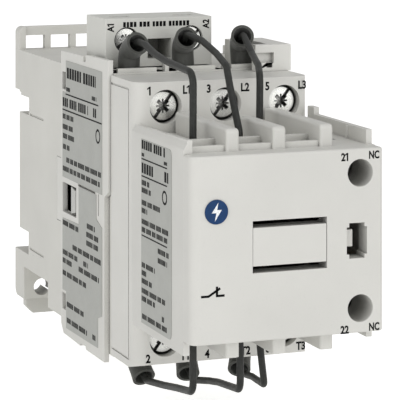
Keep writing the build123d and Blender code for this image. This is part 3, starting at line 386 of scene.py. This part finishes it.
EDGE_RADII = {
    "base_housing": 0.22, "contact_housing": 0.2, "front_cover": 0.22, "aux_housing": 0.22, "aux_cover": 0.16,
    "left_side_cover": 0.18, "right_side_cover": 0.18, "side_hood": 0.22, "coil_terminal_block": 0.2,
    "rail_latch": 0.2, "side_snaps": 0.15, "marker_plate": 0.1, "position_indicator": 0.15,
}
for node in frame["nodes"]:
    dress(node, EDGE_RADII.get(node, 0))


# ---------------------------------------------------------------- mesh helpers
def as_piece(name, shape, material, body):
    """Turn a bmesh in frame coordinates into a named piece that rides on a body."""
    bmesh.ops.recalc_face_normals(shape, faces=shape.faces)
    mesh = bpy.data.meshes.new(name)
    shape.to_mesh(mesh)
    shape.free()
    mesh.materials.append(material)
    piece = bpy.data.objects.new(name, mesh)
    bpy.context.scene.collection.objects.link(piece)
    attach(piece, body)
    return piece


FACING_FRONT = Matrix(((1, 0, 0), (0, 0, -1), (0, 1, 0)))
FACING_LEFT = Matrix(((0, 0, -1), (-1, 0, 0), (0, 1, 0)))
INK_UNDER = 0.01          # how deep printing reaches below its surface
INK_OVER = 0.03           # and how far it stands proud
INK_BOLDNESS = 0.035      # how far letter outlines are widened, in letter units


def sheet(shape, corners, place, facing):
    """Add a thin plate with the given outline (right, up), laid on a surface at place."""
    count = len(corners)
    rings = []
    for out in (-INK_UNDER, INK_OVER):
        ring = []
        for right, up in corners:
            ring.append(shape.verts.new(place + facing @ Vector((right, up, out)) * MM))
        rings.append(ring)
    shape.faces.new(rings[1])
    shape.faces.new(list(reversed(rings[0])))
    for i in range(count):
        j = (i + 1) % count
        shape.faces.new((rings[0][i], rings[0][j], rings[1][j], rings[1][i]))


def bar(shape, right, up, width, height, place, facing):
    """Add a printed rectangle whose lower left corner is at (right, up)."""
    corners = ((right, up), (right + width, up), (right + width, up + height), (right, up + height))
    sheet(shape, corners, place, facing)


def characters(shape, text, height, place, facing, turn=0.0, squeeze=0.84):
    """Add printed characters, centred on place, height millimetres tall."""
    curve = bpy.data.curves.new("characters", "FONT")
    curve.body = text
    curve.offset = INK_BOLDNESS
    curve.resolution_u = 3
    letters = bpy.data.objects.new("characters", curve)
    bpy.context.scene.collection.objects.link(letters)
    bpy.context.view_layer.update()
    flat = bpy.data.meshes.new_from_object(letters.evaluated_get(bpy.context.evaluated_depsgraph_get()))
    bpy.data.objects.remove(letters)
    bpy.data.curves.remove(curve)
    low = Vector([min(v.co[i] for v in flat.vertices) for i in range(2)])
    high = Vector([max(v.co[i] for v in flat.vertices) for i in range(2)])
    size = height / (high.y - low.y)
    middle = (low + high) / 2
    glyphs = bmesh.new()
    glyphs.from_mesh(flat)
    bpy.data.meshes.remove(flat)
    made = bmesh.ops.extrude_face_region(glyphs, geom=glyphs.faces[:])
    raised = {e for e in made["geom"] if isinstance(e, bmesh.types.BMVert)}
    spin = Matrix.Rotation(math.radians(turn), 3, "Z")
    for vert in glyphs.verts:
        out = INK_OVER if vert in raised else -INK_UNDER
        flat_place = Vector(((vert.co.x - middle.x) * size * squeeze, (vert.co.y - middle.y) * size, 0))
        vert.co = place + facing @ (spin @ flat_place + Vector((0, 0, out))) * MM
    copy = bpy.data.meshes.new("copy")
    glyphs.to_mesh(copy)
    glyphs.free()
    shape.from_mesh(copy)
    bpy.data.meshes.remove(copy)
    if text.endswith("1"):
        right = (high.x - middle.x) * size * squeeze
        flag_of_one(shape, right, height, place, facing @ spin)


def flag_of_one(shape, right, height, place, facing):
    """Add the short slanting stroke to a figure one that ends at right."""
    top = height / 2
    stem = right - 0.15 * height
    tip = right - 0.42 * height
    corners = (
        (stem, top),
        (stem, top - 0.19 * height),
        (tip, top - 0.36 * height),
        (tip, top - 0.2 * height),
    )
    sheet(shape, corners, place, facing)


def plain_blocks(shape, draw, row, height, place, facing):
    """Add plain blocks of one height along a row (start, end, middle height), in place of text."""
    start, end, middle = row
    right = start
    while right < end:
        for _ in range(draw.randint(3, 6)):
            width = min(height * draw.uniform(0.42, 0.62), end - right)
            if width < 0.2:
                return
            bar(shape, right, middle - height / 2, width, height, place, facing)
            right += width + height * 0.2
        right += height * 0.45


# ---------------------------------------------------------------- terminal markings
FACE_MARK_HEIGHT = 2.0
BLOCK_MARK_HEIGHT = 1.8
COIL_MARK_HEIGHT = 1.7


def face_markings():
    """Terminal numbers round the six main screws."""
    shape = bmesh.new()
    depth = reach("front_cover")
    rows = (
        (31.8, ("1", -18.2), ("L1", -9.2), ("3", -3.7), ("L2", 5.4), ("5", 11.0), ("L3", 19.9)),
        (-29.8, ("2", -18.6), ("T1", -9.7), ("4", -4.1), ("T2", 5.5), ("6", 11.1), ("T3", 19.5)),
    )
    for z, *marks in rows:
        for text, x in marks:
            characters(shape, text, FACE_MARK_HEIGHT, spot(x, depth, z), FACING_FRONT)
    return as_piece("terminal_numbers", shape, INK, "body")


def block_markings():
    """Numbers of the auxiliary contact, and its symbol at the lower left."""
    shape = bmesh.new()
    depth = reach("aux_cover")
    for z, number in ((20.25, "21"), (-17.55, "22")):
        characters(shape, number, BLOCK_MARK_HEIGHT, spot(13.3, depth, z), FACING_FRONT)
        characters(shape, "NC", BLOCK_MARK_HEIGHT, spot(20.4, depth, z + 0.2), FACING_FRONT, 0.0, 0.74)
    opening_contact(shape, spot(-17.6, depth, -8.0))
    return as_piece("block_numbers", shape, INK, "body")


def stroke(shape, start, end, width, place, facing):
    """Add a printed line of even width between two points."""
    start, end = Vector(start), Vector(end)
    side = (end - start).orthogonal().normalized() * width / 2
    sheet(shape, (start + side, end + side, end - side, start - side), place, facing)


def opening_contact(shape, place):
    """Standard symbol of a normally closed contact, laid on its side."""
    width = 0.5
    stroke(shape, (-2.7, 0.0), (-0.9, 0.0), width, place, FACING_FRONT)
    stroke(shape, (-1.0, 0.0), (1.7, 1.6), width, place, FACING_FRONT)
    stroke(shape, (0.95, -0.25), (0.95, 2.0), width, place, FACING_FRONT)
    stroke(shape, (0.95, 0.0), (2.7, 0.0), width, place, FACING_FRONT)


def coil_markings():
    """Upright terminal marks of the coil with a plain coded strip between them."""
    shape = bmesh.new()
    depth = reach("coil_terminal_block")
    low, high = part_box("coil_terminal_block")
    left, right, top = low.x / MM, high.x / MM, high.z / MM
    characters(shape, "A1", COIL_MARK_HEIGHT, spot(left + 1.3, depth, top - 2.2), FACING_FRONT, 90)
    characters(shape, "A2", COIL_MARK_HEIGHT, spot(right - 1.5, depth, top - 1.9), FACING_FRONT, 90)
    draw = random.Random(3)
    plain_blocks(shape, draw, (4.5, 22.1, -1.5), 1.25, spot(left, depth, top), FACING_FRONT)
    return as_piece("coil_terminal_marks", shape, INK, "body")


# ---------------------------------------------------------------- label printing
def printed_rows(shape, draw, rows, height, place):
    """Add several rows of plain blocks, each (start depth, end depth, middle height)."""
    for row in rows:
        plain_blocks(shape, draw, row, height, place, FACING_LEFT)


def printed_rules(shape, rules, width, place):
    """Add thin lines, each (start depth, end depth, height)."""
    for start, end, z in rules:
        bar(shape, start, z - width / 2, end - start, width, place, FACING_LEFT)


def rating_print():
    """Rules, a ring and rows of plain blocks on the label of the left side plate."""
    shape = bmesh.new()
    draw = random.Random(11)
    place = Vector((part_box("rating_label")[0].x, 0, 0))
    printed_rules(shape, ((46.3, 72.7, 25.8), (43.7, 75.3, 21.75)), 0.34, place)
    printed_rows(shape, draw, ((47.4, 70.7, 31.2),), 2.7, place)
    printed_rows(shape, draw, ((43.9, 64.6, 23.7), (68.7, 71.2, 23.7)), 2.2, place)
    printed_rows(shape, draw, ((46.9, 50.1, 27.1), (67.7, 71.2, 27.1)), 1.0, place)
    column = ((43.9, 52.7, 20.1), (43.9, 53.0, 17.5), (44.1, 53.3, 15.2), (44.1, 49.5, 12.5))
    middle = ((47.0, 74.8, 9.4), (44.0, 73.8, 7.0), (43.9, 56.8, -6.6), (63.8, 70.3, -4.4))
    lower = ((63.4, 73.0, -6.5), (63.4, 72.7, -8.6), (52.2, 74.6, -11.6), (43.9, 56.0, -14.0))
    foot = ((43.9, 51.3, -16.1), (61.0, 64.6, -14.1), (57.2, 73.4, -16.1), (43.9, 63.0, -19.2))
    tail = ((47.4, 61.1, -26.6), (47.4, 63.8, -30.6), (68.2, 70.7, -30.5))
    printed_rows(shape, draw, column + middle + lower + foot + tail, 1.25, place)
    ring_mark(shape, spot(0, 72.4, 18.4) + place, 1.75)
    return as_piece("rating_print", shape, INK, "body")


def ring_mark(shape, place, radius):
    """Add a plain printed ring."""
    steps = 28
    width = 0.5
    for i in range(steps):
        corners = []
        for turn, r in ((i, radius), (i + 1, radius), (i + 1, radius - width), (i, radius - width)):
            angle = 2 * math.pi * turn / steps
            corners.append((r * math.cos(angle), r * math.sin(angle)))
        sheet(shape, corners, place, FACING_LEFT)


def block_print():
    """Rules, a ring and rows of plain blocks on the cheek label of the front block."""
    shape = bmesh.new()
    draw = random.Random(23)
    place = Vector((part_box("block_label")[0].x, 0, 0))
    rules = ((104.9, 121.9, 17.55), (104.9, 121.9, 13.65), (104.9, 121.9, 0.25))
    printed_rules(shape, rules, 0.3, place)
    printed_rows(shape, draw, ((105.0, 120.6, 20.8),), 2.0, place)
    printed_rows(shape, draw, ((105.0, 113.1, 15.5), (120.2, 122.7, 15.5)), 2.3, place)
    printed_rows(shape, draw, ((105.0, 106.6, 18.5), (119.9, 121.9, 18.5)), 0.75, place)
    column = ((105.0, 110.4, 12.2), (105.0, 111.1, 10.5), (105.0, 117.2, 7.7), (105.0, 108.7, 5.9))
    middle = ((105.0, 122.9, 3.4), (105.0, 122.2, 1.6), (115.9, 122.9, -1.5), (115.9, 121.9, -3.6))
    lower = ((105.0, 113.8, -6.4), (105.0, 108.0, -8.2), (105.0, 111.8, -10.0), (105.0, 120.6, -12.2))
    foot = ((105.0, 113.9, -14.0), (118.6, 120.2, -16.1), (105.3, 121.9, -18.0))
    printed_rows(shape, draw, column + middle + lower + foot, 1.15, place)
    ring_mark(shape, spot(0, 120.3, 10.9) + place, 1.6)
    return as_piece("block_print", shape, INK, "body")


face_markings()
block_markings()
coil_markings()
rating_print()
block_print()


# ---------------------------------------------------------------- badge
def badge_bolt():
    """White lightning flash printed on the blue badge."""
    shape = bmesh.new()
    low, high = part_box("badge")
    middle = (low + high) / 2
    place = Vector((middle.x, low.y, middle.z))
    flash = ((0.35, 2.0), (-1.15, -0.2), (-0.1, -0.2), (-0.45, -2.0), (1.15, 0.45), (0.1, 0.45))
    sheet(shape, flash, place, FACING_FRONT)
    return as_piece("badge_flash", shape, WHITE_INK, "body")


badge_bolt()


# ---------------------------------------------------------------- springs get their own meshes
def settle_spring(node):
    """Give a spring its own copy of its mesh."""
    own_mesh(frame["nodes"][node])


settle_spring("return_springs")
settle_spring("contact_springs")
settle_spring("latch_spring")


# ---------------------------------------------------------------- stage, light and camera
def floor():
    """Large pale floor, low enough for the pulled latch to clear it."""
    latch_stroke = 0.0045
    bpy.ops.mesh.primitive_plane_add(size=16, location=(0, 0, cad_low.z - latch_stroke - 0.001))
    plane = bpy.context.object
    plane.name = "floor"
    recipe = Recipe("pale_floor")
    mottle = recipe.noise(60, 2.0)
    recipe.finish("Base Color", recipe.mix(mottle, tone(246, 246, 245), tone(250, 250, 249)))
    recipe.finish("Roughness", 0.9)
    recipe.finish("Emission Color", (1, 1, 1, 1))
    seen = recipe.tree.nodes.new("ShaderNodeLightPath").outputs["Is Camera Ray"]
    recipe.finish("Emission Strength", recipe.between(seen, 0.0, 1.0, 0.2, 0.66))
    plane.data.materials.append(recipe.material)


def softbox(name, place, aim, size, power):
    """Square area light that faces a point."""
    lamp = bpy.data.lights.new(name, "AREA")
    lamp.size = size
    lamp.energy = power
    light = bpy.data.objects.new(name, lamp)
    light.location = place
    light.rotation_euler = (Vector(aim) - Vector(place)).to_track_quat("-Z", "Y").to_euler()
    bpy.context.scene.collection.objects.link(light)


def studio():
    """Even white surroundings with a large soft light in front."""
    world = bpy.data.worlds.new("studio")
    world.use_nodes = True
    bpy.context.scene.world = world
    background = world.node_tree.nodes["Background"]
    background.inputs["Color"].default_value = (1.0, 1.0, 0.995, 1)
    background.inputs["Strength"].default_value = 0.47
    middle = (0, -0.07, 0.0)
    softbox("front_light", (0.35, -1.5, 0.35), middle, 1.0, 6.0)
    softbox("left_light", (-1.2, -0.7, 0.4), middle, 0.9, 4.1)
    softbox("top_light", (0.1, -0.3, 1.3), middle, 0.8, 2.1)


DOWNWARD_SHIFT = -0.9125


def shift_at_home(lens, eye):
    """Shift the lens down while the camera stands at its own distance from the floor's middle.

    Moved farther off for another view, it looks straight ahead.
    """
    curve = lens.driver_add("shift_y")
    curve.modifiers.remove(curve.modifiers[0])
    curve.driver.type = "SUM"
    distance = curve.driver.variables.new()
    distance.type = "LOC_DIFF"
    distance.targets[0].id = eye
    distance.targets[1].id = bpy.data.objects["floor"]
    for away, shift in ((0.5, 0), (0.58, DOWNWARD_SHIFT), (0.68, DOWNWARD_SHIFT), (0.76, 0)):
        key = curve.keyframe_points.insert(away, shift)
        key.interpolation = "LINEAR"


def camera():
    """Long lens from the left front, held level and shifted down, so uprights stay parallel."""
    lens = bpy.data.cameras.new("camera")
    lens.sensor_width = 36
    lens.lens = 202.5
    lens.clip_start = 0.01
    lens.clip_end = 50
    eye = bpy.data.objects.new("camera", lens)
    eye.location = (-0.1896, -0.5863, 0.09074)
    eye.rotation_euler = (math.radians(90), 0, math.radians(-20.6))
    bpy.context.scene.collection.objects.link(eye)
    bpy.context.scene.camera = eye
    shift_at_home(lens, eye)


floor()
studio()
camera()
bpy.context.scene.view_settings.view_transform = "Standard"
